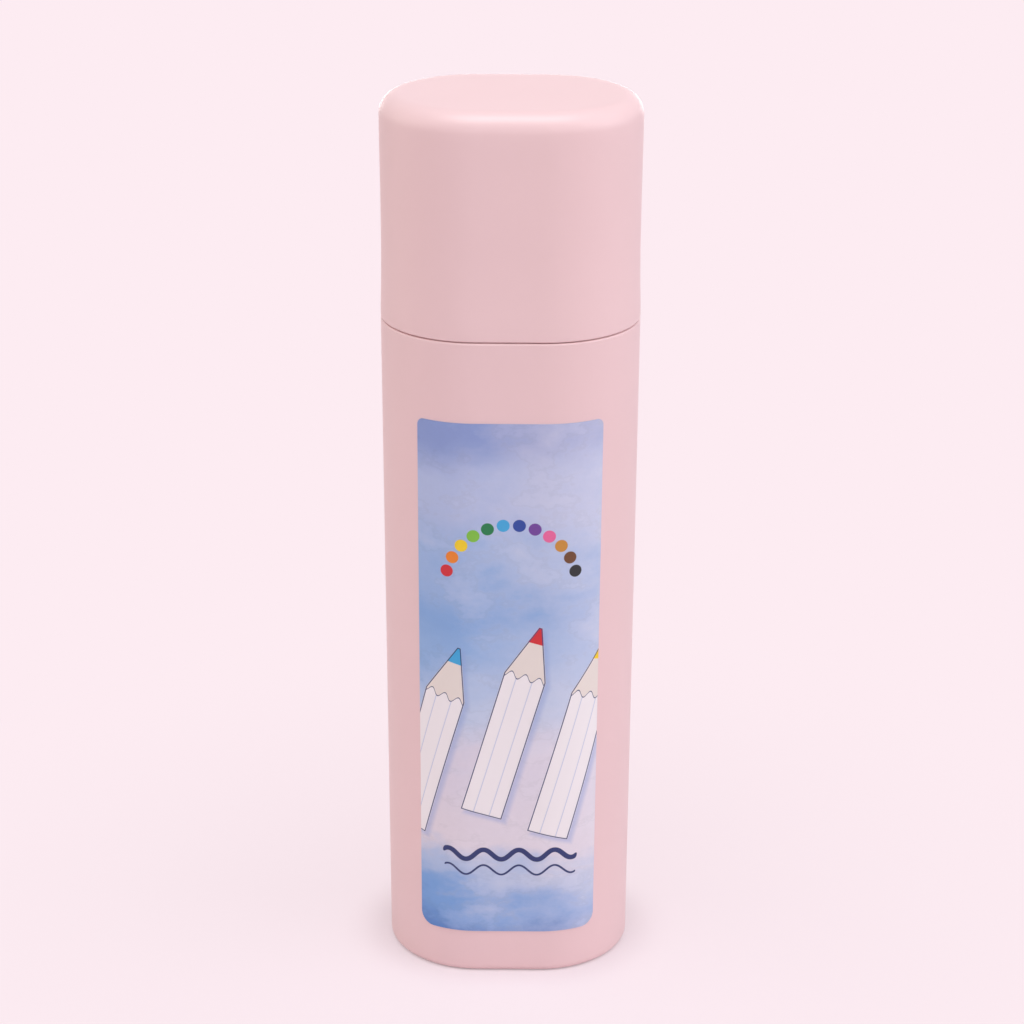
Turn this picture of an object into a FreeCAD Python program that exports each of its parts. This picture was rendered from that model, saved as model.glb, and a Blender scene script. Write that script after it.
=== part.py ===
import FreeCAD, Part
import math
import os

# Oval pencil case: a moulded case and a push-on cap that meet in a flush seam, a film label wrapped on
# the front, and twelve coloured pencils that stand inside with their points up.
# Millimetres, +Z up, front towards -Y, origin in the middle of the face that the case stands on.

# Oval outline at the seam
case_width = 52.0
case_depth = 39.0

# Heights of the mouldings
shoulder_height = 140.0
cap_height = 45.0
neck_height = 14.0

# Walls of the mouldings
cap_wall = 1.2
cap_roof = 2.2
neck_wall = 1.0
floor_thickness = 2.2

# Draft of the mouldings: how far a wall leans in for each unit of height
case_draft_share = 0.004
cap_draft_share = 0.0015

# Fit of the cap on the neck
neck_fit = 0.2
snap_clearance = 0.05

# Snap beads on the flat sides of the neck, and the grooves for them in the cap
bead_radius = 0.6
bead_length = 8.0
bead_height = 9.0
groove_depth = 0.15

# Guide ribs at the round ends of the neck
rib_radius = 0.5
rib_length = 9.0
rib_start = 2.0
ribs_per_end = 3
rib_spread_angle = 90.0

# Edges of the mouldings
top_edge_radius = 4.0
roof_bevel = 0.5
seam_bevel = 0.2
mouth_bevel = 0.35
neck_bevel = 0.45
floor_bevel = 1.0
base_bevel = 0.4

# Underside of the case: a standing rim round a shallow recess, with the moulding's gate dimple
base_rim_width = 3.0
base_recess = 0.6
gate_radius = 1.5
gate_depth = 0.3

# Label on the front
label_width = 38.9
label_bottom = 9.8
label_top_gap = 16.75
label_thickness = 0.12
label_glue = 0.03
label_lower_corner_radius = 3.0
label_upper_corner_radius = 1.4
label_shift = 0.4

# Pencil: a lead in a hexagon of wood with a sharpened point
lead_diameter = 2.6
lead_glue = 0.05
point_length = 17.0
point_diameter = 0.8

# Places of the pencils: most stand round the wall, the rest in a row along the middle.
# The row's pitch is a share of the half width inside, and the gap in the row sets how thick the pencils are.
row_pitch_share = 0.39
pencil_gap = 1.4
wall_play = 0.4
head_room = 5.0
ring_place_count = 10
ring_colours = ("yellow", "orange", "red", "pink", "purple", "blue", "sky_blue", "green", "light_green")
row_colours = ("ochre", "brown", "black")

# How far cutting shapes run past what they cut
overrun = 5.0

# Values that follow from the sizes above
flat_half = (case_width - case_depth) / 2
case_radius = case_depth / 2
socket_radius = case_radius - cap_wall
neck_radius = socket_radius - neck_fit
bore_radius = neck_radius - neck_wall
neck_top = shoulder_height + neck_height
cap_top = shoulder_height + cap_height
roof_level = cap_top - cap_roof
floor_level = base_recess + floor_thickness
floor_radius = bore_radius - case_draft_share * (neck_top - floor_level) - floor_bevel
label_height = shoulder_height - label_bottom - label_top_gap
row_pitch = row_pitch_share * (flat_half + floor_radius - wall_play)
pencil_flats = row_pitch - pencil_gap
pencil_length = roof_level - head_room - floor_level
hexagon_reach = pencil_flats / math.sqrt(3)
ring_radius = floor_radius - hexagon_reach - wall_play
up = FreeCAD.Vector(0, 0, 1)
along = FreeCAD.Vector(1, 0, 0)
back = FreeCAD.Vector(0, 1, 0)
centre = FreeCAD.Vector(0, 0, 0)


def case_radius_at(level):
    """Half depth of the case's outside at a level, with its draft."""
    return case_radius - case_draft_share * (shoulder_height - level)


def bore_radius_at(level):
    """Half depth of the case's inside at a level, with the same draft as the outside."""
    return bore_radius - case_draft_share * (neck_top - level)


def cap_radius_at(level):
    """Half depth of the cap's outside at a level, with its draft."""
    return case_radius - cap_draft_share * (level - shoulder_height)


def oval_wire(radius, level):
    """Oval outline at a level: two half circles of the radius, joined by the flat sides."""
    right_front = FreeCAD.Vector(flat_half, -radius, level)
    right_back = FreeCAD.Vector(flat_half, radius, level)
    left_front = FreeCAD.Vector(-flat_half, -radius, level)
    left_back = FreeCAD.Vector(-flat_half, radius, level)
    right_end = FreeCAD.Vector(flat_half + radius, 0, level)
    left_end = FreeCAD.Vector(-flat_half - radius, 0, level)
    curves = [
        Part.LineSegment(left_front, right_front),
        Part.Arc(right_front, right_end, right_back),
        Part.LineSegment(right_back, left_back),
        Part.Arc(left_back, left_end, left_front),
    ]
    return Part.Wire([curve.toShape() for curve in curves])


def oval_prism(radius, low, high):
    """Upright oval prism between two levels."""
    return Part.Face(oval_wire(radius, low)).extrude(up * (high - low))


def ruled_solid(wires):
    """Solid with straight walls from wire to wire. Its spline edges make each wall a plain ruled face."""
    splines = [Part.Wire(wire.toNurbs().Edges) for wire in wires]
    return Part.makeLoft(splines, True, True)


def oval_solid(sections):
    """Solid with straight walls through ovals, each given as (radius, level)."""
    return ruled_solid([oval_wire(radius, level) for radius, level in sections])


def bevelled_top(solid, bevel):
    """Solid with a bevel round its top face."""
    top = solid.BoundBox.ZMax
    edges = [edge for edge in solid.Edges if edge.BoundBox.ZMin > top - bevel]
    return solid.makeChamfer(bevel, edges)


def rounded_face(corners):
    """Flat face in the XZ plane through corners, each given as (x, z, radius of its round)."""
    points = [FreeCAD.Vector(x, 0, z) for x, z, radius in corners]
    arcs = []
    for index, corner in enumerate(points):
        radius = corners[index][2]
        to_last = (points[index - 1] - corner).normalize()
        to_next = (points[(index + 1) % len(points)] - corner).normalize()
        half_angle = to_last.getAngle(to_next) / 2
        start = corner + to_last * (radius / math.tan(half_angle))
        finish = corner + to_next * (radius / math.tan(half_angle))
        middle = corner + (to_last + to_next).normalize() * (radius / math.sin(half_angle) - radius)
        arcs.append(Part.Arc(start, middle, finish))
    edges = []
    for index, arc in enumerate(arcs):
        edges.append(Part.LineSegment(arcs[index - 1].EndPoint, arc.StartPoint).toShape())
        edges.append(arc.toShape())
    return Part.Face(Part.Wire(edges))


def snap_bars(radius, reach):
    """Round bars along the front and rear flat sides, whose outsides stand at a reach from the middle."""
    middle = FreeCAD.Vector(-bead_length / 2, 0, shoulder_height + bead_height)
    starts = [middle + back * (side * (reach - radius)) for side in (-1, 1)]
    return [Part.makeCylinder(radius, bead_length, start, along) for start in starts]


def guide_ribs(reach):
    """Upright ribs at the round ends of the neck, whose outsides stand at a reach from the end's middle."""
    ribs = []
    step = rib_spread_angle / (ribs_per_end - 1)
    for turn in (0, 180):
        for index in range(ribs_per_end):
            rib = Part.makeCylinder(rib_radius, rib_length, along * (reach - rib_radius))
            rib.rotate(centre, up, index * step - rib_spread_angle / 2)
            rib.translate(along * flat_half + up * (shoulder_height + rib_start))
            rib.rotate(centre, up, turn)
            ribs.append(rib)
    return ribs


def make_case_body():
    """Case: drafted oval cup with a standing rim, a shoulder for the cap and a stepped neck above it."""
    outside = oval_solid([
        (case_radius_at(0) - base_bevel, 0),
        (case_radius_at(base_bevel), base_bevel),
        (case_radius_at(shoulder_height - seam_bevel), shoulder_height - seam_bevel),
        (case_radius - seam_bevel, shoulder_height),
    ])
    neck = bevelled_top(oval_prism(neck_radius, shoulder_height, neck_top), neck_bevel)
    inside = oval_solid([
        (floor_radius, floor_level),
        (bore_radius_at(floor_level + floor_bevel), floor_level + floor_bevel),
        (bore_radius_at(neck_top + overrun), neck_top + overrun),
    ])
    rim_radius = case_radius_at(0) - base_rim_width
    recess = oval_prism(rim_radius, -overrun, base_recess)
    gate = Part.makeCylinder(gate_radius, base_recess + gate_depth)
    snug_reach = socket_radius - snap_clearance
    catches = snap_bars(bead_radius, snug_reach) + guide_ribs(snug_reach)
    return outside.fuse([neck] + catches).cut([inside, recess, gate])


def make_cap():
    """Cap: drafted oval cup, mouth down, with a round top edge, a neck socket and two snap grooves."""
    crown_level = cap_top - top_edge_radius
    crown_radius = cap_radius_at(crown_level)
    crown = oval_prism(crown_radius, neck_top, cap_top)
    top_edges = [edge for edge in crown.Edges if edge.BoundBox.ZMin > crown_level]
    crown = crown.makeFillet(top_edge_radius, top_edges)
    skirt = oval_solid([
        (case_radius - seam_bevel, shoulder_height),
        (cap_radius_at(shoulder_height + seam_bevel), shoulder_height + seam_bevel),
        (crown_radius, crown_level),
    ])
    socket = oval_prism(socket_radius, shoulder_height - overrun, neck_top)
    mouth = oval_solid([
        (socket_radius + mouth_bevel, shoulder_height),
        (socket_radius, shoulder_height + mouth_bevel),
    ])
    chamber_radius = crown_radius - cap_wall
    chamber = oval_solid([
        (socket_radius, neck_top),
        (chamber_radius, roof_level - roof_bevel),
        (chamber_radius - roof_bevel, roof_level),
    ])
    grooves = snap_bars(bead_radius + groove_depth, socket_radius + groove_depth)
    return crown.fuse(skirt).cut([socket, mouth, chamber] + grooves)


def label_cone(lower_radius, upper_radius):
    """Tapered oval over the height of the label."""
    wires = [oval_wire(lower_radius, label_bottom), oval_wire(upper_radius, label_bottom + label_height)]
    return Part.makeLoft(wires, True, True)


def make_label():
    """Label: a film that follows the front of the case, cut to a rectangle with round corners."""
    label_top = label_bottom + label_height
    lower_radius = case_radius_at(label_bottom) + label_glue
    upper_radius = case_radius_at(label_top) + label_glue
    film = label_cone(lower_radius + label_thickness, upper_radius + label_thickness)
    film = film.cut(label_cone(lower_radius, upper_radius))
    middle_radius = (lower_radius + upper_radius) / 2
    wrap_angle = (label_width / 2 - flat_half) / middle_radius
    reach = flat_half + middle_radius * math.sin(wrap_angle)
    left = label_shift - reach
    right = label_shift + reach
    corners = [
        (left, label_bottom, label_lower_corner_radius),
        (right, label_bottom, label_lower_corner_radius),
        (right, label_top, label_upper_corner_radius),
        (left, label_top, label_upper_corner_radius),
    ]
    window = rounded_face(corners).extrude(back * -case_depth)
    return film.common(window)


def round_wire(radius, level):
    """Circle about the Z axis at a level."""
    return Part.Wire(Part.makeCircle(radius, up * level))


def make_pencil():
    """One pencil on the Z axis: two grooved slats that meet in a plane through two corners, and the lead."""
    point_radius = point_diameter / 2
    taper_share = (pencil_flats / 2 - point_radius) / point_length
    cone = Part.makeCone(point_radius + taper_share * pencil_length, point_radius, pencil_length)
    bends = [math.radians(60 * index) for index in range(7)]
    corners = [FreeCAD.Vector(math.cos(bend), math.sin(bend), 0) * hexagon_reach for bend in bends]
    hexagon = Part.Face(Part.makePolygon(corners))
    groove = Part.makeCylinder(lead_diameter / 2, pencil_length)
    casing = hexagon.extrude(up * pencil_length).common(cone).cut(groove)
    side = 2 * pencil_flats
    half = Part.makeBox(side, side, pencil_length, FreeCAD.Vector(-side / 2, 0, 0))
    lead_radius = lead_diameter / 2 - lead_glue
    lead_shoulder = pencil_length - (lead_radius - point_radius) / taper_share
    point_wires = [round_wire(lead_radius, lead_shoulder), round_wire(point_radius, pencil_length)]
    lead = Part.makeCylinder(lead_radius, lead_shoulder).fuse(ruled_solid(point_wires))
    return {"slat_1": casing.common(half), "slat_2": casing.cut(half), "lead": lead}


def ring_place(run, radius):
    """Point on an oval round the middle, at a run from its front middle, with the outward angle there."""
    turn_length = math.pi * radius
    half_length = turn_length + 2 * flat_half
    if run > half_length:
        x, y, angle = ring_place(2 * half_length - run, radius)
        return -x, y, 180 - angle
    if run <= flat_half:
        return run, -radius, -90
    if run <= flat_half + turn_length:
        turn = (run - flat_half) / radius - math.pi / 2
        return flat_half + radius * math.cos(turn), radius * math.sin(turn), math.degrees(turn)
    return half_length - run, radius, 90


def pencil_places():
    """Colour, place and turn of every pencil. The front place of the ring stays free."""
    ring_length = 2 * math.pi * ring_radius + 4 * flat_half
    places = []
    for index, colour in enumerate(ring_colours):
        run = (index + 1) * ring_length / ring_place_count
        places.append((colour, *ring_place(run, ring_radius)))
    for index, colour in enumerate(row_colours):
        offset = index - (len(row_colours) - 1) / 2
        places.append((colour, offset * row_pitch, 0, 90))
    return places


def make_pencils():
    """All pencils, standing on the floor of the case."""
    pieces = {}
    pencil = make_pencil()
    for colour, x, y, angle in pencil_places():
        for piece, shape in pencil.items():
            placed = shape.copy()
            placed.rotate(centre, up, angle)
            placed.translate(FreeCAD.Vector(x, y, floor_level))
            pieces[f"{colour}_pencil_{piece}"] = placed
    return pieces


def main():
    """Build every piece and write each one to its own file."""
    pieces = {"case_body": make_case_body(), "cap": make_cap(), "front_label": make_label()}
    pieces.update(make_pencils())
    os.makedirs("parts", exist_ok=True)
    for name, shape in pieces.items():
        shape.exportStep(f"parts/{name}.step")


main()
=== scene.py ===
"""Looks of an upright oval pencil box: moulded case, push-on cap, wrapped label and twelve pencils.

The scene is in metres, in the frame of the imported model: +Z up, front towards -Y, and the origin in the
middle of the face that the case stands on. The classes of the pieces hold their sizes in millimetres.
"""

import logging
import math
from dataclasses import dataclass, replace
from enum import Enum
from typing import Optional, Sequence, Union

import bpy
from mathutils import Matrix, Quaternion, Vector


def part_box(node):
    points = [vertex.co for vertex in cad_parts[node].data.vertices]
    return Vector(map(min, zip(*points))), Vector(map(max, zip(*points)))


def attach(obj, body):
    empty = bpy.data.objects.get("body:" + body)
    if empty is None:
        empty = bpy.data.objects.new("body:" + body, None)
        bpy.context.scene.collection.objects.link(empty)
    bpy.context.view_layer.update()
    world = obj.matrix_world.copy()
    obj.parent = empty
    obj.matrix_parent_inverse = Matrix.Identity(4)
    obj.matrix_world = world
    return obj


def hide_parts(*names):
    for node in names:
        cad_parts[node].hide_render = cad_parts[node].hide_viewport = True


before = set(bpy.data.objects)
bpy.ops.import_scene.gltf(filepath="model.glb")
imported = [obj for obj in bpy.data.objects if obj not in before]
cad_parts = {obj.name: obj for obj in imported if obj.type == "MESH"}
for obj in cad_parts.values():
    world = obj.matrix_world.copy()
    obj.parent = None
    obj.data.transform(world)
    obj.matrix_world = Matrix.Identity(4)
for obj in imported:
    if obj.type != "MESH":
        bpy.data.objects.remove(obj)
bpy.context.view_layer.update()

MM = 0.001
WELD = 1e-6
CREASE = math.radians(32)
NOISE_MIDDLE = 0.5
LOG = logging.getLogger("pencil_box")

Colour4 = tuple[float, float, float, float]
Number = Union[float, int, "Field"]


def linear(code: str) -> Colour4:
    """Turns a colour code into the linear colour that shaders use.

    Args:
        code: six hexadecimal digits, red, green and blue.

    Returns:
        The linear colour with full alpha.
    """
    values = [int(code[start:start + 2], 16) / 255 for start in (0, 2, 4)]
    red, green, blue = [v / 12.92 if v <= 0.04045 else ((v + 0.055) / 1.055) ** 2.4 for v in values]
    return red, green, blue, 1.0


class PencilColour(Enum):
    """Colours of the set, in the order of the rainbow on the label."""

    RED = "d3272f"
    ORANGE = "ef8420"
    YELLOW = "f4cf1f"
    LIGHT_GREEN = "7fbf3d"
    GREEN = "157a45"
    SKY_BLUE = "3fa7dc"
    BLUE = "23459c"
    PURPLE = "6f3f98"
    PINK = "e8679c"
    OCHRE = "c98a35"
    BROWN = "6e4427"
    BLACK = "26262a"

    @property
    def word(self) -> str:
        """Name of the colour as the frame's nodes and slots write it."""
        return self.name.lower()


class Tree(Enum):
    """Kinds of node tree."""

    SHAPE = "GeometryNodeTree"
    SHADER = "ShaderNodeTree"


class Kind(Enum):
    """Kinds of input and output that a node group has."""

    NUMBER = "NodeSocketFloat"
    COUNT = "NodeSocketInt"
    VECTOR = "NodeSocketVector"
    COLOUR = "NodeSocketColor"
    SHAPE = "NodeSocketGeometry"
    MATERIAL = "NodeSocketMaterial"


@dataclass(frozen=True)
class Field:
    """A value that a node tree works out, written with plain arithmetic."""

    graph: "Graph"
    socket: bpy.types.NodeSocket

    def __add__(self, other: Number) -> "Field":
        """Sum of two numbers."""
        return self.graph.math("ADD", self, other)

    def __sub__(self, other: Number) -> "Field":
        """Difference of two numbers."""
        return self.graph.math("SUBTRACT", self, other)

    def __rsub__(self, other: Number) -> "Field":
        """Difference of two numbers, where this one is taken away."""
        return self.graph.math("SUBTRACT", other, self)

    def __mul__(self, other: Number) -> "Field":
        """Product of two numbers."""
        return self.graph.math("MULTIPLY", self, other)

    def __truediv__(self, other: Number) -> "Field":
        """Quotient of two numbers."""
        return self.graph.math("DIVIDE", self, other)

    def __neg__(self) -> "Field":
        """The number with its sign turned."""
        return self.graph.math("MULTIPLY", self, -1.0)

    __radd__ = __add__
    __rmul__ = __mul__


class Graph:
    """Builds one node tree, with sums written as plain arithmetic."""

    # Places of the sockets of the Mix node that are for colours.
    MIX_SHARE, MIX_FIRST, MIX_SECOND, MIX_RESULT = 0, 6, 7, 2

    def __init__(self, tree: bpy.types.NodeTree) -> None:
        """Starts on a tree.

        Args:
            tree: the tree that gets the nodes.
        """
        self.tree = tree
        self.entry: Optional[bpy.types.Node] = None
        self.exit: Optional[bpy.types.Node] = None

    @classmethod
    def group(cls, name: str, tree: Tree, inputs: dict[str, Kind], outputs: dict[str, Kind]) -> "Graph":
        """Makes a node group with named inputs and outputs.

        Args:
            name: name of the group.
            tree: kind of tree.
            inputs: name and kind of each input.
            outputs: name and kind of each output.

        Returns:
            The graph of the new group, with its input and output nodes in place.
        """
        graph = cls(bpy.data.node_groups.new(name, tree.value))
        for in_out, sockets in (("INPUT", inputs), ("OUTPUT", outputs)):
            for label, kind in sockets.items():
                graph.tree.interface.new_socket(label, in_out=in_out, socket_type=kind.value)
        graph.entry = graph.tree.nodes.new("NodeGroupInput")
        graph.exit = graph.tree.nodes.new("NodeGroupOutput")
        return graph

    def given(self, name: str) -> Field:
        """Value that comes in through a named input of the group."""
        return Field(self, self.entry.outputs[name])

    def put(self, name: str, value: object) -> None:
        """Sends a value out through a named output of the group."""
        self.feed(self.exit.inputs[name], value)

    def feed(self, socket: bpy.types.NodeSocket, value: object) -> None:
        """Links a value to a socket, or sets the socket to a plain value.

        Args:
            socket: the input that gets the value.
            value: a field, an output socket or a plain value.
        """
        value = value.socket if isinstance(value, Field) else value
        if isinstance(value, bpy.types.NodeSocket):
            self.tree.links.new(value, socket)
        else:
            socket.default_value = value

    def node(self, kind: str, inputs: Optional[dict] = None, **settings: object) -> bpy.types.Node:
        """Adds a node.

        Args:
            kind: the node's type.
            inputs: value or link for each input, by name or place.
            settings: the node's own properties.

        Returns:
            The new node.
        """
        made = self.tree.nodes.new(kind)
        for name, value in settings.items():
            setattr(made, name, value)
        for key, value in (inputs or {}).items():
            self.feed(made.inputs[key], value)
        return made

    def field(self, kind: str, inputs: Optional[dict] = None, **settings: object) -> Field:
        """Adds a node and returns its first output."""
        return Field(self, self.node(kind, inputs, **settings).outputs[0])

    def math(self, operation: str, *values: Number) -> Field:
        """Adds a sum of a named kind and returns its result."""
        return self.field("ShaderNodeMath", dict(enumerate(values)), operation=operation)

    def clamped(self, value: Number) -> Field:
        """The number, held between nought and one."""
        return self.field("ShaderNodeClamp", {"Value": value})

    def ramp(self, value: Number, low: float, high: float) -> Field:
        """Smooth step of a number from nought at one bound to one at the other."""
        inputs = {"Value": value, "From Min": low, "From Max": high}
        return self.field("ShaderNodeMapRange", inputs, interpolation_type="SMOOTHSTEP")

    def vector(self, x: Number, y: Number, z: Number = 0.0) -> Field:
        """Vector of three numbers."""
        return self.field("ShaderNodeCombineXYZ", {0: x, 1: y, 2: z})

    def parts(self, vector: object) -> tuple[Field, ...]:
        """The three numbers of a vector."""
        made = self.node("ShaderNodeSeparateXYZ", {0: vector})
        return tuple(Field(self, output) for output in made.outputs)

    def length(self, x: Number, y: Number) -> Field:
        """Length of a flat vector."""
        return self.math("SQRT", self.math("MULTIPLY", x, x) + self.math("MULTIPLY", y, y))

    def noise(self, vector: object, scale: Number, detail: float = 2.0, roughness: float = 0.5) -> Field:
        """Soft noise between nought and one.

        Args:
            vector: where it is read.
            scale: how fine it is, in waves for each unit of the vector.
            detail: how many finer layers it has.
            roughness: how strong the finer layers are.

        Returns:
            The noise.
        """
        inputs = {"Vector": vector, "Scale": scale, "Detail": detail, "Roughness": roughness}
        return self.field("ShaderNodeTexNoise", inputs)

    def toned(self, colour: object, value: Number) -> Field:
        """The colour, made lighter or darker by a factor."""
        return self.field("ShaderNodeHueSaturation", {"Value": value, "Color": colour})

    def mix(self, share: Number, first: object, second: object) -> Field:
        """Mixture of two colours.

        Args:
            share: how much of the second colour there is.
            first: colour at nought.
            second: colour at one.

        Returns:
            The mixed colour.
        """
        inputs = {self.MIX_SHARE: share, self.MIX_FIRST: first, self.MIX_SECOND: second}
        made = self.node("ShaderNodeMix", inputs, data_type="RGBA")
        return Field(self, made.outputs[self.MIX_RESULT])

    def colours(self, value: Number, stops: Sequence[tuple[float, str]], steps: bool = False) -> Field:
        """Colour that a number picks from a row of stops.

        Args:
            value: the number.
            stops: place and colour code of each stop, in order.
            steps: True where the colours don't run into each other.

        Returns:
            The colour.
        """
        made = self.node("ShaderNodeValToRGB", {0: value})
        ramp = made.color_ramp
        ramp.interpolation = "CONSTANT" if steps else "EASE"
        ready = len(ramp.elements)
        for index, (place, code) in enumerate(stops):
            stop = ramp.elements[index] if index < ready else ramp.elements.new(place)
            stop.position = place
            stop.color = linear(code)
        return Field(self, made.outputs[0])


class ShapeTrees:
    """The Geometry Nodes trees that make the shapes."""

    BAR_SEGMENTS = 20
    BAR_RINGS = 9
    CASING_ROWS = 11
    # First and last band of a pencil's casing that has lacquer, from the foot up.
    PAINTED_BANDS = (1, 5)
    # Rows that keep the lacquer's ends crisp in the light, in bevels from the foot and from the cut.
    FOOT_ROW = 4.0
    CUT_ROW = 2.0
    # Rows on the bare wood, as shares of the way from the lacquer to the lead.
    WOOD_ROWS = (0.35, 0.7)

    def __init__(self) -> None:
        """Builds each tree once."""
        self.oval_sweep = self._oval_sweep()
        self.catch_bars = self._catch_bars()
        self.wrapped_film = self._wrapped_film()
        self.pencil_casing = self._pencil_casing()

    @staticmethod
    def _start(name: str, numbers: dict[str, Kind], materials: Sequence[str]) -> Graph:
        """Makes a tree with a shape that comes in and goes out.

        Args:
            name: name of the tree.
            numbers: name and kind of each size.
            materials: names of the materials.

        Returns:
            The graph of the tree.
        """
        inputs = {"Outline": Kind.SHAPE, **numbers, **{label: Kind.MATERIAL for label in materials}}
        return Graph.group(name, Tree.SHAPE, inputs, {"Shape": Kind.SHAPE})

    @staticmethod
    def _lattice(graph: Graph, columns: Number, rows: Number) -> tuple[bpy.types.NodeSocket, Field, Field]:
        """Adds a grid of points, with the column and the row of each point.

        Args:
            graph: the tree.
            columns: how many columns it has.
            rows: how many points each column has.

        Returns:
            The grid, and the two numbers.
        """
        grid = graph.node("GeometryNodeMeshGrid", {"Vertices X": columns, "Vertices Y": rows})
        index = graph.field("GeometryNodeInputIndex")
        column = graph.math("FLOOR", index / rows)
        return grid.outputs["Mesh"], column, index - column * rows

    @staticmethod
    def _outline_point(graph: Graph, index: Number) -> tuple[Field, ...]:
        """Reads one point of the outline that comes in.

        Args:
            graph: the tree.
            index: which point it is.

        Returns:
            The three numbers of the point.
        """
        position = graph.field("GeometryNodeInputPosition")
        inputs = {"Geometry": graph.given("Outline"), "Value": position, "Index": index}
        return graph.parts(graph.field("GeometryNodeSampleIndex", inputs, data_type="FLOAT_VECTOR"))

    @staticmethod
    def _outline_count(graph: Graph) -> Field:
        """How many points the outline has that comes in."""
        return graph.field("GeometryNodeAttributeDomainSize", {0: graph.given("Outline")}, component="MESH")

    @staticmethod
    def _store(graph: Graph, shape: object, name: str, value: object, data_type: str, domain: str) -> Field:
        """Keeps a value on a shape under a name."""
        inputs = {"Geometry": shape, "Name": name, "Value": value}
        return graph.field("GeometryNodeStoreNamedAttribute", inputs, data_type=data_type, domain=domain)

    @staticmethod
    def _finish(graph: Graph, shape: object, layers: Sequence[tuple[str, object]]) -> None:
        """Welds, shades and dresses a shape, and sends it out.

        Args:
            graph: the tree.
            shape: the shape so far.
            layers: name of each material and the faces that it covers, or None for all of them.
        """
        welded = graph.field("GeometryNodeMergeByDistance", {"Geometry": shape, "Distance": WELD})
        smooth = graph.field("GeometryNodeSetShadeSmooth", {"Geometry": welded, "Shade Smooth": True})
        bend = graph.field("GeometryNodeInputMeshEdgeAngle")
        crease = graph.math("GREATER_THAN", bend, CREASE)
        inputs = {"Geometry": smooth, "Selection": crease, "Shade Smooth": False}
        creased = graph.field("GeometryNodeSetShadeSmooth", inputs, domain="EDGE")
        dressed = graph.field("GeometryNodeRealizeInstances", {"Geometry": creased})
        for label, faces in layers:
            inputs = {"Geometry": dressed, "Material": graph.given(label)}
            if faces is not None:
                inputs["Selection"] = faces
            dressed = graph.field("GeometryNodeSetMaterial", inputs)
        graph.put("Shape", dressed)

    def _oval_sweep(self) -> bpy.types.NodeTree:
        """Makes the tree that carries a profile round an oval of two half circles and two flat sides.

        Returns:
            The tree. A point of the profile is its radius, its share of the flat sides and its level.
        """
        sizes = {"Flat Half": Kind.NUMBER, "Arc Steps": Kind.COUNT, "Place": Kind.VECTOR}
        graph = self._start("oval_sweep", sizes, ["Surface"])
        steps = graph.given("Arc Steps")
        grid, column, row = self._lattice(graph, (steps + 1) * 2 + 1, self._outline_count(graph))
        radius, flat_share, level = self._outline_point(graph, row)
        half = graph.math("FLOOR", column / (steps + 1))
        turn = (half + (column - half * (steps + 1)) / steps) * math.pi - math.pi / 2
        side = 1.0 - 2.0 * graph.math("MODULO", half, 2.0)
        across = radius * graph.math("COSINE", turn) + side * graph.given("Flat Half") * flat_share
        place = graph.vector(across, radius * graph.math("SINE", turn), level)
        inputs = {"Geometry": grid, "Position": place, "Offset": graph.given("Place")}
        self._finish(graph, graph.field("GeometryNodeSetPosition", inputs), [("Surface", None)])
        return graph.tree

    def _catch_bars(self) -> bpy.types.NodeTree:
        """Makes the tree that sets a round-ended bar on each point that comes in.

        Returns:
            The tree.
        """
        sizes = {"Radius": Kind.NUMBER, "Length": Kind.NUMBER, "Turn": Kind.VECTOR}
        graph = self._start("catch_bars", sizes, ["Surface"])
        radius = graph.given("Radius")
        inputs = {"Segments": self.BAR_SEGMENTS, "Rings": self.BAR_RINGS, "Radius": radius}
        ball = graph.node("GeometryNodeMeshUVSphere", inputs).outputs["Mesh"]
        upright = graph.parts(graph.field("GeometryNodeInputPosition"))[2]
        stretch = graph.math("SIGN", upright) * (graph.given("Length") * 0.5 - radius)
        inputs = {"Geometry": ball, "Offset": graph.vector(0.0, 0.0, stretch)}
        bar = graph.field("GeometryNodeSetPosition", inputs)
        inputs = {"Points": graph.given("Outline"), "Instance": bar, "Rotation": graph.given("Turn")}
        bars = graph.field("GeometryNodeInstanceOnPoints", inputs)
        bars = graph.field("GeometryNodeRealizeInstances", {"Geometry": bars})
        self._finish(graph, bars, [("Surface", None)])
        return graph.tree

    def _wrapped_film(self) -> bpy.types.NodeTree:
        """Makes the tree that wraps a film on the front of a drafted oval and gives it a flat map.

        Returns:
            The tree. A point of the outline is how far the film reaches left and right, and its level.
        """
        lengths = ("Flat Half", "Radius", "Draft", "Shift", "Thickness", "Width", "Bottom", "Height")
        sizes = {"Columns": Kind.COUNT, **{label: Kind.NUMBER for label in lengths}}
        graph = self._start("wrapped_film", sizes, ["Surface"])
        columns = graph.given("Columns")
        grid, column, row = self._lattice(graph, columns, self._outline_count(graph))
        left, right, level = self._outline_point(graph, row)
        run = (left + right) * (column / (columns - 1)) - left
        reach = run + graph.given("Shift")
        radius = graph.given("Radius") + graph.given("Draft") * level
        flat = graph.given("Flat Half")
        turn = graph.math("MAXIMUM", graph.math("ABSOLUTE", reach) - flat, 0.0) / radius
        straight = graph.math("MINIMUM", graph.math("ABSOLUTE", reach), flat)
        across = graph.math("SIGN", reach) * (straight + radius * graph.math("SINE", turn))
        place = graph.vector(across, -(radius * graph.math("COSINE", turn)), level)
        rise = (level - graph.given("Bottom")) / graph.given("Height")
        spot = graph.vector(run / graph.given("Width") + 0.5, rise)
        spot = graph.field("GeometryNodeFieldOnDomain", {0: spot}, data_type="FLOAT_VECTOR", domain="POINT")
        mapped = self._store(graph, grid, "print", spot, "FLOAT2", "CORNER")
        back = graph.field("GeometryNodeSetPosition", {"Geometry": mapped, "Position": place})
        inputs = {"Mesh": back, "Offset Scale": graph.given("Thickness"), "Individual": False}
        front = graph.field("GeometryNodeExtrudeMesh", inputs, mode="FACES")
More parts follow.
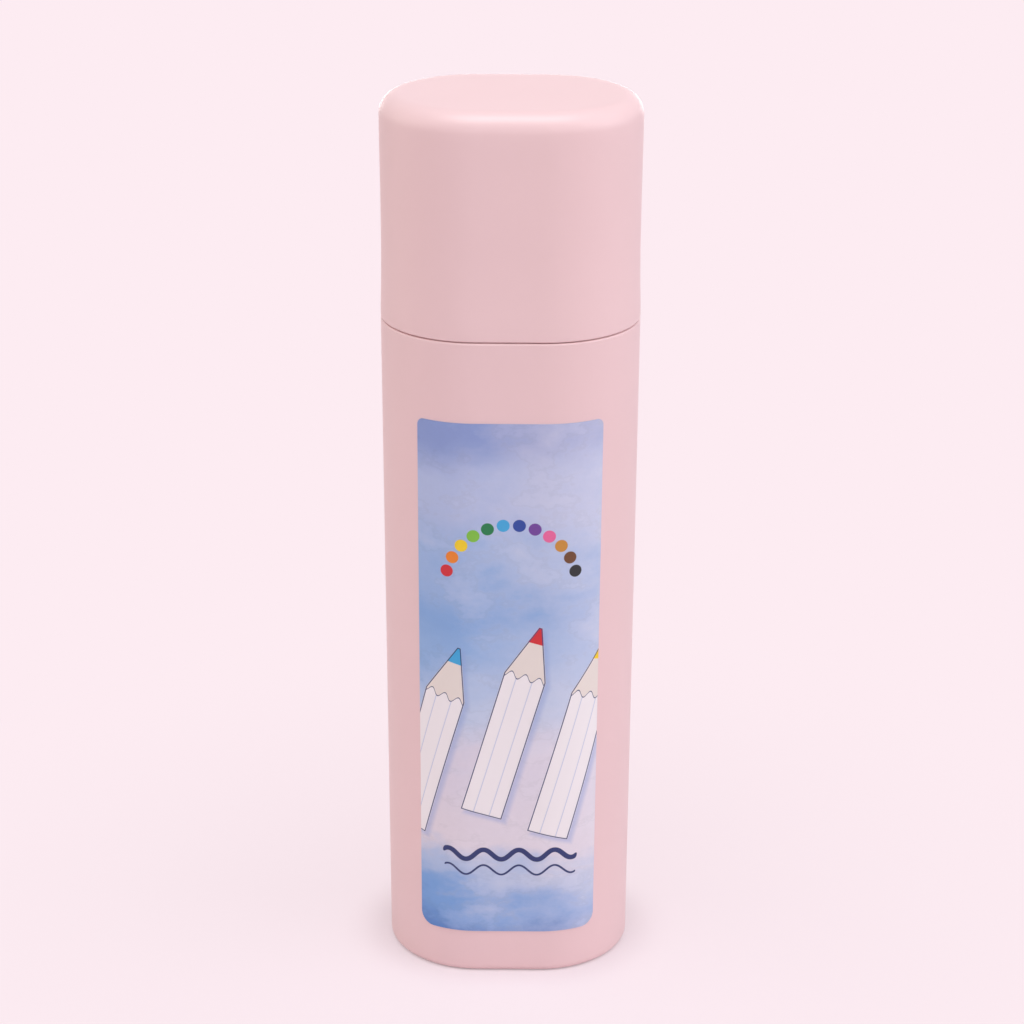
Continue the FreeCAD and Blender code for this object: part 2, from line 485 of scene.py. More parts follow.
        turned = graph.field("GeometryNodeFlipFaces", {"Mesh": back})
        joined = graph.node("GeometryNodeJoinGeometry", {0: front})
        graph.feed(joined.inputs[0], turned)
        self._finish(graph, joined.outputs[0], [("Surface", None)])
        return graph.tree

    def _pencil_casing(self) -> bpy.types.NodeTree:
        """Makes the tree that builds the sharpened wood of a pencil round the outline of its section.

        Returns:
            The tree.
        """
        lengths = ("Length", "Point Length", "Point Radius", "Flats", "Lead Radius", "End Bevel", "Skin")
        sizes = {**{label: Kind.NUMBER for label in lengths}, "Turn": Kind.NUMBER, "Place": Kind.VECTOR}
        graph = self._start("pencil_casing", sizes, ["Wood", "Lacquer"])
        length, tip, lead = graph.given("Length"), graph.given("Point Radius"), graph.given("Lead Radius")
        bevel = graph.given("End Bevel")
        taper = (graph.given("Flats") * 0.5 - tip) / graph.given("Point Length")

        def on_cone(radius: Field) -> tuple[Field, Field]:
            """A radius and the level at which the sharpened cone has it."""
            return radius, length - (radius - tip) / taper

        grid, column, row = self._lattice(graph, self._outline_count(graph), self.CASING_ROWS)
        x, y, _ = self._outline_point(graph, column)
        reach = graph.length(x, y)
        bare = reach - graph.given("Skin")
        wood = [on_cone(bare + (lead - bare) * share) for share in self.WOOD_ROWS]
        stations = [
            (lead, 0.0), (reach - bevel, 0.0), (reach, bevel), (reach, bevel * self.FOOT_ROW),
            (reach, on_cone(reach)[1] - bevel * self.CUT_ROW), on_cone(reach), on_cone(bare),
            *wood, on_cone(lead), (lead, 0.0),
        ]
        picks = [self._pick(graph, row, values) for values in zip(*stations)]
        share = picks[0] / reach
        inputs = {"Geometry": grid, "Position": graph.vector(x * share, y * share, picks[1])}
        upright = graph.field("GeometryNodeSetPosition", inputs)
        own_place = graph.field("GeometryNodeInputPosition")
        kept = self._store(graph, upright, "own_place", own_place, "FLOAT_VECTOR", "POINT")
        band = graph.math("MODULO", graph.field("GeometryNodeInputIndex"), self.CASING_ROWS - 1)
        banded = self._store(graph, kept, "band", band, "FLOAT", "FACE")
        spin = graph.vector(0.0, 0.0, graph.given("Turn"))
        inputs = {"Geometry": banded, "Translation": graph.given("Place"), "Rotation": spin}
        placed = graph.field("GeometryNodeTransform", inputs)
        band = graph.field("GeometryNodeInputNamedAttribute", {"Name": "band"}, data_type="FLOAT")
        first, last = self.PAINTED_BANDS
        from_middle = graph.math("ABSOLUTE", band - (first + last) / 2)
        painted = graph.math("LESS_THAN", from_middle, (last - first + 1) / 2)
        self._finish(graph, placed, [("Wood", None), ("Lacquer", painted)])
        return graph.tree

    @staticmethod
    def _pick(graph: Graph, index: Field, values: Sequence[Number]) -> Field:
        """Picks one number of a row.

        Args:
            graph: the tree.
            index: which number it is.
            values: the row.

        Returns:
            The number.
        """
        switch = graph.node("GeometryNodeIndexSwitch", data_type="FLOAT")
        while len(switch.index_switch_items) < len(values):
            switch.index_switch_items.new()
        for place, value in enumerate((index, *values)):
            graph.feed(switch.inputs[place], value)
        return Field(graph, switch.outputs[0])


class Modeller:
    """Runs a shape tree on an outline and keeps the result as a plain mesh."""

    def __init__(self, trees: ShapeTrees) -> None:
        """Keeps the trees.

        Args:
            trees: the shape trees.
        """
        self.trees = trees

    @staticmethod
    def outline(name: str, points: Sequence[Vector]) -> bpy.types.Mesh:
        """Makes a mesh that holds only the points of an outline, in their order.

        Args:
            name: name of the mesh.
            points: the points.

        Returns:
            The mesh.
        """
        edges = [(index, index + 1) for index in range(len(points) - 1)]
        mesh = bpy.data.meshes.new(name)
        mesh.from_pydata([tuple(point) for point in points], edges, [])
        return mesh

    def make(self, name: str, tree: bpy.types.NodeTree, points: Sequence[Vector],
             inputs: dict[str, object]) -> bpy.types.Object:
        """Makes one piece.

        Args:
            name: name of the piece.
            tree: the shape tree.
            points: the outline that the tree works on.
            inputs: value of each input of the tree, by name.

        Returns:
            The piece, at the origin, with its place in its mesh.
        """
        outline = self.outline(name + "_outline", points)
        piece = bpy.data.objects.new(name, outline)
        bpy.context.scene.collection.objects.link(piece)
        modifier = piece.modifiers.new(tree.name, "NODES")
        modifier.node_group = tree
        for item in tree.interface.items_tree:
            if item.in_out == "INPUT" and item.name in inputs:
                modifier[item.identifier] = inputs[item.name]
        depsgraph = bpy.context.evaluated_depsgraph_get()
        shaped = piece.evaluated_get(depsgraph)
        mesh = bpy.data.meshes.new_from_object(shaped, preserve_all_data_layers=True, depsgraph=depsgraph)
        piece.modifiers.clear()
        piece.data = mesh
        mesh.name = name
        bpy.data.meshes.remove(outline)
        return piece


@dataclass(frozen=True)
class Corner:
    """Corner of a profile: its radius, level, round and share of the flat sides. Sizes in millimetres."""

    radius: float
    level: float
    round: float = 0.0
    flat_share: float = 1.0


@dataclass(frozen=True)
class Profile:
    """Profile of a shell, from the axis out and back to the axis, with rounded corners."""

    corners: tuple[Corner, ...]
    steps: int = 6
    beside: float = 0.35

    def points(self) -> list[Vector]:
        """Works out the points of the profile.

        Returns:
            Points as radius, share of the flat sides and level. Two points close beside each round keep
            the flat stretches next to it flat in the light.
        """
        made = [self._point(self.corners[0])]
        for last, corner, following in zip(self.corners, self.corners[1:], self.corners[2:]):
            made.extend(self._rounded(last, corner, following))
        made.append(self._point(self.corners[-1]))
        return made

    @staticmethod
    def _point(corner: Corner, out: float = 0.0, rise: float = 0.0) -> Vector:
        """Point on or beside a corner, in the units of the scene."""
        return Vector(((corner.radius + out) * MM, corner.flat_share, (corner.level + rise) * MM))

    def _rounded(self, last: Corner, corner: Corner, following: Corner) -> list[Vector]:
        """Works out the points of one corner.

        Args:
            last: the corner before it.
            corner: the corner.
            following: the corner after it.

        Returns:
            The points of its round, or the corner itself where it has none.
        """
        if corner.round == 0.0:
            return [self._point(corner)]
        centre = Vector((corner.radius, corner.level))
        to_last = (Vector((last.radius, last.level)) - centre).normalized()
        to_next = (Vector((following.radius, following.level)) - centre).normalized()
        half = to_last.angle(to_next) / 2
        reach = corner.round / math.tan(half)
        middle = (to_last + to_next).normalized() * (corner.round / math.sin(half))
        start, finish = to_last * reach - middle, to_next * reach - middle
        shares = [step / self.steps for step in range(self.steps + 1)]
        ring = [start.slerp(finish, share).normalized() * corner.round + middle for share in shares]
        beside = reach + corner.round * self.beside
        ring = [to_last * beside, *ring, to_next * beside]
        return [self._point(corner, spot.x, spot.y) for spot in ring]


class Effects:
    """Shader groups that more than one finish uses."""

    MOTTLE_DETAIL = 3.0
    PIT_DETAIL, PIT_ROUGHNESS = 2.0, 0.6
    WAVE_SCALE, WAVE_DETAIL = 60.0, 1.0
    SMUDGE_SCALE, SMUDGE_DETAIL, SMUDGE_ROUGHNESS = 45.0, 3.0, 0.55
    SCUFF_FINE, SCUFF_LONG = 900.0, 60.0
    SCUFF_START, SCUFF_END = 0.70, 0.78
    SCUFF_SHARE = 0.4

    def __init__(self) -> None:
        """Builds each group once."""
        self.soft_mottle = self._soft_mottle()
        self.fine_grain = self._fine_grain()
        self.handling = self._handling()

    def _soft_mottle(self) -> bpy.types.NodeTree:
        """Makes the group that lets a colour drift a little over the surface.

        Returns:
            The group.
        """
        inputs = {"Place": Kind.VECTOR, "Colour": Kind.COLOUR, "Scale": Kind.NUMBER, "Amount": Kind.NUMBER}
        graph = Graph.group("soft_mottle", Tree.SHADER, inputs, {"Colour": Kind.COLOUR})
        drift = graph.noise(graph.given("Place"), graph.given("Scale"), self.MOTTLE_DETAIL)
        value = 1.0 + (drift - NOISE_MIDDLE) * graph.given("Amount")
        graph.put("Colour", graph.toned(graph.given("Colour"), value))
        return graph.tree

    def _fine_grain(self) -> bpy.types.NodeTree:
        """Makes the group for the fine grain that a spark-eroded mould leaves.

        Returns:
            The group.
        """
        inputs = {"Place": Kind.VECTOR, "Scale": Kind.NUMBER, "Wave": Kind.NUMBER}
        graph = Graph.group("fine_grain", Tree.SHADER, inputs, {"Height": Kind.NUMBER})
        place = graph.given("Place")
        pits = graph.noise(place, graph.given("Scale"), self.PIT_DETAIL, self.PIT_ROUGHNESS)
        waves = graph.noise(place, self.WAVE_SCALE, self.WAVE_DETAIL)
        graph.put("Height", pits + waves * graph.given("Wave"))
        return graph.tree

    def _handling(self) -> bpy.types.NodeTree:
        """Makes the group for the gloss that handling leaves: soft smudges and a few fine scuffs.

        Returns:
            The group.
        """
        inputs = {"Place": Kind.VECTOR, "Roughness": Kind.NUMBER, "Amount": Kind.NUMBER}
        graph = Graph.group("handling", Tree.SHADER, inputs, {"Roughness": Kind.NUMBER})
        place = graph.given("Place")
        smudge = graph.noise(place, self.SMUDGE_SCALE, self.SMUDGE_DETAIL, self.SMUDGE_ROUGHNESS)
        x, y, z = graph.parts(place)
        streaks = graph.vector(x * self.SCUFF_FINE, y * self.SCUFF_FINE, z * self.SCUFF_LONG)
        scuffs = graph.ramp(graph.noise(streaks, 1.0, 1.0), self.SCUFF_START, self.SCUFF_END)
        change = (smudge - NOISE_MIDDLE + scuffs * self.SCUFF_SHARE) * graph.given("Amount")
        graph.put("Roughness", graph.given("Roughness") + change)
        return graph.tree


class Surface(Graph):
    """A material with one main shader, which the finishes dress."""

    def __init__(self, name: str, effects: Effects, **constants: object) -> None:
        """Starts a material.

        Args:
            name: name of the material.
            effects: the shared effects.
            constants: values that are the same all over, by the shader's input with _ for a space.
        """
        self.material = bpy.data.materials.new(name)
        self.material.use_nodes = True
        super().__init__(self.material.node_tree)
        self.effects = effects
        self.shader = self.tree.nodes["Principled BSDF"]
        for key, value in constants.items():
            self.shader.inputs[key.replace("_", " ")].default_value = value
        self.place = self.node("ShaderNodeTexCoord").outputs["Object"]

    def effect(self, group: bpy.types.NodeTree, **inputs: object) -> Field:
        """Places a shared effect at the surface's own coordinates, with its values by name."""
        return self.field("ShaderNodeGroup", {"Place": self.place, **inputs}, node_tree=group)

    def set(self, name: str, value: object) -> None:
        """Sends a value to an input of the shader."""
        self.feed(self.shader.inputs[name], value)

    def tint(self, colour: object, scale: float, amount: float) -> None:
        """Colours the surface, with a soft mottle that has so many waves for each metre."""
        mottled = self.effect(self.effects.soft_mottle, Colour=colour, Scale=scale, Amount=amount)
        self.set("Base Color", mottled)

    def wear(self, roughness: float, amount: float) -> None:
        """Makes the surface so rough, with the marks of handling."""
        self.set("Roughness", self.effect(self.effects.handling, Roughness=roughness, Amount=amount))

    def grain(self, scale: float, wave: float) -> Field:
        """Height of a fine grain with so many pits for each metre, on long waves."""
        return self.effect(self.effects.fine_grain, Scale=scale, Wave=wave)

    def bump(self, height: object, strength: float, depth: float) -> None:
        """Raises the surface by a height.

        Args:
            height: the height, from nought to one.
            strength: how strong it is.
            depth: how far one stands above nought, in millimetres.
        """
        inputs = {"Height": height, "Strength": strength, "Distance": depth * MM}
        self.set("Normal", self.field("ShaderNodeBump", inputs))


@dataclass(frozen=True)
class SatinPlastic:
    """Soft satin moulded plastic, coloured right through."""

    name: str
    code: str
    index: float = 1.49
    mottle_scale: float = 38.0
    mottle: float = 0.035
    roughness: float = 0.42
    wear: float = 0.10
    grain_scale: float = 5200.0
    grain_wave: float = 1.2
    grain_strength: float = 0.16
    grain_depth: float = 0.03

    def material(self, effects: Effects) -> bpy.types.Material:
        """Builds the material.

        Args:
            effects: the shared effects.

        Returns:
            The material.
        """
        surface = Surface(self.name, effects, IOR=self.index)
        surface.tint(linear(self.code), self.mottle_scale, self.mottle)
        surface.wear(self.roughness, self.wear)
        grain = surface.grain(self.grain_scale, self.grain_wave)
        surface.bump(grain, self.grain_strength, self.grain_depth)
        return surface.material


@dataclass(frozen=True)
class GlossLacquer:
    """Dipped gloss lacquer on the wood of a pencil."""

    name: str
    code: str
    coat: float = 0.35
    coat_roughness: float = 0.12
    mottle_scale: float = 160.0
    mottle: float = 0.06
    roughness: float = 0.24
    wear: float = 0.12
    peel_scale: float = 900.0
    peel_wave: float = 1.0
    peel_strength: float = 0.12
    peel_depth: float = 0.05

    def material(self, effects: Effects) -> bpy.types.Material:
        """Builds the material.

        Args:
            effects: the shared effects.

        Returns:
            The material.
        """
        surface = Surface(self.name, effects, Coat_Weight=self.coat, Coat_Roughness=self.coat_roughness)
        surface.tint(linear(self.code), self.mottle_scale, self.mottle)
        surface.wear(self.roughness, self.wear)
        peel = surface.grain(self.peel_scale, self.peel_wave)
        surface.bump(peel, self.peel_strength, self.peel_depth)
        return surface.material


@dataclass(frozen=True)
class SharpenedWood:
    """Bare pale wood of a pencil's point, with its grain and the glue line of its two slats."""

    name: str
    pale: str = "e2c298"
    dark: str = "c39a67"
    glue: str = "a87c4d"
    wander_scale: float = 130.0
    wander: float = 14.0
    ring_scale: float = 7500.0
    ring_lean: float = 110.0
    ring_share: float = 0.45
    fibre_fine: float = 4200.0
    fibre_long: float = 320.0
    fibre_detail: float = 3.0
    fibre_roughness: float = 0.65
    fibre_share: float = 0.75
    grain_least: float = -0.1
    glue_outside: float = 0.09
    glue_inside: float = 0.03
    glue_share: float = 0.7
    mottle_scale: float = 90.0
    mottle: float = 0.12
    roughness: float = 0.58
    roughness_range: float = 0.2
    grain_strength: float = 0.35
    grain_depth: float = 0.05

    def material(self, effects: Effects) -> bpy.types.Material:
        """Builds the material.

        Args:
            effects: the shared effects.

        Returns:
            The material.
        """
        surface = Surface(self.name, effects)
        own = surface.node("ShaderNodeAttribute", attribute_name="own_place").outputs["Vector"]
        x, y, z = surface.parts(own)
        wander = surface.noise(surface.place, self.wander_scale) * self.wander
        rings = surface.math("SINE", x * self.ring_scale + wander + z * self.ring_lean) * 0.5 + 0.5
        along = surface.vector(x * self.fibre_fine, y * self.fibre_fine, z * self.fibre_long)
        fibres = surface.noise(along, 1.0, self.fibre_detail, self.fibre_roughness)
        grain = surface.clamped(rings * self.ring_share + fibres * self.fibre_share + self.grain_least)
        wood = surface.mix(grain, linear(self.pale), linear(self.dark))
        joint = surface.ramp(surface.math("ABSOLUTE", y), self.glue_outside * MM, self.glue_inside * MM)
        wood = surface.mix(joint * self.glue_share, wood, linear(self.glue))
        surface.tint(wood, self.mottle_scale, self.mottle)
        surface.set("Roughness", self.roughness + fibres * self.roughness_range)
        surface.bump(grain, self.grain_strength, self.grain_depth)
        return surface.material


@dataclass(frozen=True)
class WaxLead:
    """Waxy pigmented lead, with the fine rings that a sharpener leaves."""

    name: str
    code: str
    index: float = 1.44
    mottle_scale: float = 1400.0
    mottle: float = 0.22
    ring_scale: float = 21000.0
    wander_scale: float = 900.0
    wander: float = 5.0
    roughness: float = 0.42
    roughness_range: float = 0.12
    ring_share: float = 0.4
    crumb_scale: float = 3800.0
    crumb_wave: float = 0.5
    bump_strength: float = 0.25
    bump_depth: float = 0.04

    def material(self, effects: Effects) -> bpy.types.Material:
        """Builds the material.

        Args:
            effects: the shared effects.

        Returns:
            The material.
        """
        surface = Surface(self.name, effects, IOR=self.index)
        surface.tint(linear(self.code), self.mottle_scale, self.mottle)
        z = surface.parts(surface.place)[2]
        wander = surface.noise(surface.place, self.wander_scale) * self.wander
        rings = surface.math("SINE", z * self.ring_scale + wander) * 0.5 + 0.5
        surface.set("Roughness", self.roughness + rings * self.roughness_range)
        height = rings * self.ring_share + surface.grain(self.crumb_scale, self.crumb_wave)
        surface.bump(height, self.bump_strength, self.bump_depth)
        return surface.material


@dataclass(frozen=True)
class Artboard:
    """Flat map of a label: place across and up from its middle, in millimetres, and share of its height."""

    surface: Surface
    x: Field
    y: Field
    share: Field

    def moved(self, right: float, upward: float) -> "Artboard":
        """The same board, with what is drawn on it moved right and up."""
        return replace(self, x=self.x - right, y=self.y - upward)


@dataclass(frozen=True)
class WashLayer:
    """One layer of a watercolour wash: its waves for each millimetre across and up, and its own noise."""

    across: float
    upward: float
    level: float
    detail: float
    roughness: float

    def read(self, board: Artboard) -> Field:
        """Strength of the layer, which is nought on the average."""
        place = board.surface.vector(board.x * self.across, board.y * self.upward, self.level)
        return board.surface.noise(place, 1.0, self.detail, self.roughness) - NOISE_MIDDLE


@dataclass(frozen=True)
class LabelPrint:
    """Printed film: a sky wash, three big drawn pencils, a rainbow of dots and two waves.

    Sizes are in millimetres on the flat film.
    """

    name: str
    width: float
    height: float
    index: float = 1.48
    roughness: float = 0.42
    wear: float = 0.10
    peel_scale: float = 2600.0
    peel_wave: float = 0.6
    peel_strength: float = 0.10
    peel_depth: float = 0.03
    soft: float = 0.05
    line: float = 0.15
    line_core: float = 0.45
    navy: str = "27336b"
    wash: tuple[tuple[float, str], ...] = (
        (0.0, "5b86c6"), (0.05, "78a2da"), (0.11, "afc0e1"), (0.18, "e2d8e2"), (0.35, "ded6e4"),
        (0.46, "bccae6"), (0.56, "93b3e0"), (0.64, "86aadc"), (0.74, "9fb7e0"), (0.86, "b3bfe2"),
        (1.0, "8a9ccf"))
    drift: WashLayer = WashLayer(0.030, 0.060, 2.0, 4.0, 0.55)
    drift_share: float = 0.22
    blooms: WashLayer = WashLayer(0.075, 0.12, 7.0, 5.0, 0.60)
    bloom_share: float = 0.10
    grains: WashLayer = WashLayer(0.9, 0.9, 4.0, 3.0, 0.65)
    grain_share: float = 0.07
    pale: str = "ebe6f1"
    pale_middle: float = 0.26
    pale_slope: float = 0.020
    pale_blooms: float = 1.3
    pale_most: float = 0.65
    pool_level: float = 0.05
    pool_width: float = 0.035
    pool_share: float = 0.05
    tilt: float = math.radians(74)
    pencil_middle: float = -8.0
    pencil_length: float = 44.0
    pencil_width: float = 8.8
    pencil_point: float = 11.5
    pencil_tip: float = 0.35
    pencil_pitch: float = 14.6
    pencil_stagger: float = 5.0
    white: str = "f4eef0"
    shadow: str = "8fa4d8"
    shadow_shift: float = 0.8
    shadow_outside: float = 0.8
    shadow_inside: float = -0.6
    shadow_share: float = 0.45
    wood: str = "eadfd8"
    scallops: int = 3
    scallop_height: float = 0.7
    lead_share: float = 0.32
    leads: tuple[PencilColour, ...] = (PencilColour.SKY_BLUE, PencilColour.RED, PencilColour.YELLOW)
    facet: str = "9fb0dc"
    facet_part: float = 5.2
    facet_core: float = 0.4
    facet_share: float = 0.5
    far_off: float = 9.0
    dot_middle: float = 22.0
    dot_ring: float = 13.4
    dot_radius: float = 1.3
    dot_span: float = math.radians(166)
    wave_middle: float = -38.5
    wave_height: float = 1.1
    wave_pitch: float = 7.4
    wave_half: float = 13.6
    wave_lines: tuple[tuple[float, float], ...] = ((0.0, 0.55), (3.6, 0.22))

    def material(self, effects: Effects) -> bpy.types.Material:
        """Builds the material.

        Args:
            effects: the shared effects.

        Returns:
            The material.
        """
        surface = Surface(self.name, effects, IOR=self.index)
        flat_map = surface.node("ShaderNodeUVMap", uv_map="print").outputs["UV"]
        u, v, _ = surface.parts(flat_map)
        board = Artboard(surface, (u - 0.5) * self.width, (v - 0.5) * self.height, v)
        colour = self._sky(board)
        for motif in (self._pencils, self._dots, self._waves):
            colour = motif(board, colour)
        surface.set("Base Color", colour)
        surface.wear(self.roughness, self.wear)
        peel = surface.grain(self.peel_scale, self.peel_wave)
        surface.bump(peel, self.peel_strength, self.peel_depth)
        return surface.material

    def _sky(self, board: Artboard) -> Field:
        """Paints a watercolour wash of sky and cloud.

        Args:
            board: the flat map.

        Returns:
            The colour.
        """
        surface = board.surface
        blooms = self.blooms.read(board)
        level = board.share + self.drift.read(board) * self.drift_share + blooms * self.bloom_share
        wash = surface.colours(level, self.wash)
        pale = surface.clamped(self.pale_middle + board.x * self.pale_slope + blooms * self.pale_blooms)
        wash = surface.mix(pale * self.pale_most, wash, linear(self.pale))
        pool = surface.ramp(surface.math("ABSOLUTE", blooms - self.pool_level), self.pool_width, 0.0)
        tone = 1.0 + self.grains.read(board) * self.grain_share - pool * self.pool_share
        return surface.toned(wash, tone)

    def _pencils(self, board: Artboard, under: Field) -> Field:
        """Draws three white pencils with thin outlines, side by side on a slant, and their soft shadow.

        Args:
            board: the flat map.
            under: the colour under them.

        Returns:
            The colour.
        """
        surface = board.surface
        cast = self._pencil(board.moved(self.shadow_shift, -self.shadow_shift))[0]
        shade = surface.ramp(cast, self.shadow_outside, self.shadow_inside)
        colour = surface.mix(shade * self.shadow_share, under, linear(self.shadow))
        edge, along, across, cell = self._pencil(board)
        inside = surface.ramp(edge, self.soft, -self.soft)
        colour = surface.mix(inside, colour, linear(self.white))
        scallop = surface.math("COSINE", across * (2 * math.pi * self.scallops / self.pencil_width))
        shoulder = along - (self.pencil_length - self.pencil_point) - scallop * self.scallop_height
        wood = surface.ramp(shoulder, -self.soft, self.soft) * inside
        colour = surface.mix(wood, colour, linear(self.wood))
        point = along - (self.pencil_length - self.pencil_point * self.lead_share)
        lead = surface.ramp(point, -self.soft, self.soft) * inside
        colour = surface.mix(lead, colour, self._paint(surface, cell + 1.0, self.leads))
        off = surface.math("ABSOLUTE", surface.math("ABSOLUTE", across) - self.pencil_width / self.facet_part)
        facets = surface.ramp(off, self.line, self.line * self.facet_core) * inside * (1.0 - wood)
        colour = surface.mix(facets * self.facet_share, colour, linear(self.facet))
        rim = surface.math("ABSOLUTE", edge + self.line)
        cut = surface.math("ABSOLUTE", shoulder) + (1.0 - inside) * self.far_off
        marks = surface.ramp(surface.math("MINIMUM", rim, cut), self.line, self.line * self.line_core)
        return surface.mix(marks, colour, linear(self.navy))

    def _pencil(self, board: Artboard) -> tuple[Field, Field, Field, Field]:
        """Places a spot of the label on the nearest drawn pencil.

        Args:
            board: the flat map.

        Returns:
            Distance from the pencil's outline, place along it, place across it, and which of the three it is.
        """
        surface = board.surface
        cosine, sine = math.cos(self.tilt), math.sin(self.tilt)
        rise = board.y - self.pencil_middle
        row = board.x * sine - rise * cosine
        nearest = surface.math("FLOOR", row / self.pencil_pitch + 0.5)
        cell = surface.math("MINIMUM", surface.math("MAXIMUM", nearest, -1.0), 1.0)
        across = row - cell * self.pencil_pitch
        lower = surface.math("ABSOLUTE", cell) * self.pencil_stagger - cell * (self.pencil_pitch * cosine)
        along = board.x * cosine + rise * sine + lower + self.pencil_length * 0.5
        rest = surface.clamped((self.pencil_length - along) / self.pencil_point)
        half = rest * (self.pencil_width / 2 - self.pencil_tip) + self.pencil_tip
        side = surface.math("ABSOLUTE", across) - half
        ends = surface.math("MAXIMUM", -along, along - self.pencil_length)
        return surface.math("MAXIMUM", side, ends), along, across, cell

    def _dots(self, board: Artboard, under: Field) -> Field:
        """Draws a rainbow of dots, one for each colour of the set.

        Args:
            board: the flat map.
            under: the colour under them.

        Returns:
            The colour.
        """
        surface = board.surface
        total = len(PencilColour)
        rise = board.y - self.dot_middle
        turn = surface.math("ARCTAN2", rise, board.x)
        share = (math.pi / 2 + self.dot_span / 2 - turn) / self.dot_span
        cell = surface.math("FLOOR", share * total)
        bend = (share * total - cell - 0.5) * (self.dot_span / total)
        reach = surface.length(board.x, rise)
        outward = reach * surface.math("COSINE", bend) - self.dot_ring
        off = surface.length(outward, reach * surface.math("SINE", bend))
        valid = surface.math("LESS_THAN", surface.math("ABSOLUTE", share - 0.5), 0.5)
        spots = surface.ramp(off, self.dot_radius + self.soft, self.dot_radius - self.soft) * valid
        return surface.mix(spots, under, self._paint(surface, cell, tuple(PencilColour)))

    @staticmethod
    def _paint(surface: Surface, index: Field, paints: Sequence[PencilColour]) -> Field:
        """Colour that a place in a row of pencil colours has."""
        stops = [(place / len(paints), paint.value) for place, paint in enumerate(paints)]
        return surface.colours((index + 0.5) / len(paints), stops, steps=True)

    def _waves(self, board: Artboard, under: Field) -> Field:
        """Draws a bold wave and a fine one under it, as if with a pencil.

        Args:
            board: the flat map.
            under: the colour under them.

        Returns:
            The colour.
        """
        surface, x = board.surface, board.x
        colour = under
        pace = 2 * math.pi / self.wave_pitch
        past = surface.math("MAXIMUM", surface.math("ABSOLUTE", x) - self.wave_half, 0.0)
        slope = surface.math("COSINE", x * pace) * (self.wave_height * pace)
        steep = surface.math("SQRT", slope * slope + 1.0)
        for drop, half in self.wave_lines:
            crest = board.y - self.wave_middle + drop - surface.math("SINE", x * pace) * self.wave_height
            off = surface.length(crest / steep, past)
            stroke = surface.ramp(off, half + self.soft, half - self.soft)
            colour = surface.mix(stroke, colour, linear(self.navy))
        return colour


@dataclass(frozen=True)
class CaseSizes:
    """Sizes that the case, the cap and the label share, in millimetres."""

    flat_half: float = 6.5
    radius: float = 19.5
    shoulder: float = 139.9
    seam_gap: float = 0.165
    neck_top: float = 154.0
    draft: float = 0.004
    socket_radius: float = 18.3
    arc_steps: int = 72

    def radius_at(self, level: float) -> float:
        """Half depth of the case's outside at a level."""
        return self.radius - self.draft * (self.shoulder - level)

    def sweep(self, plastic: bpy.types.Material) -> dict[str, object]:
        """Inputs that carry a profile round the oval of the box."""
        return {"Flat Half": self.flat_half * MM, "Arc Steps": self.arc_steps, "Surface": plastic}


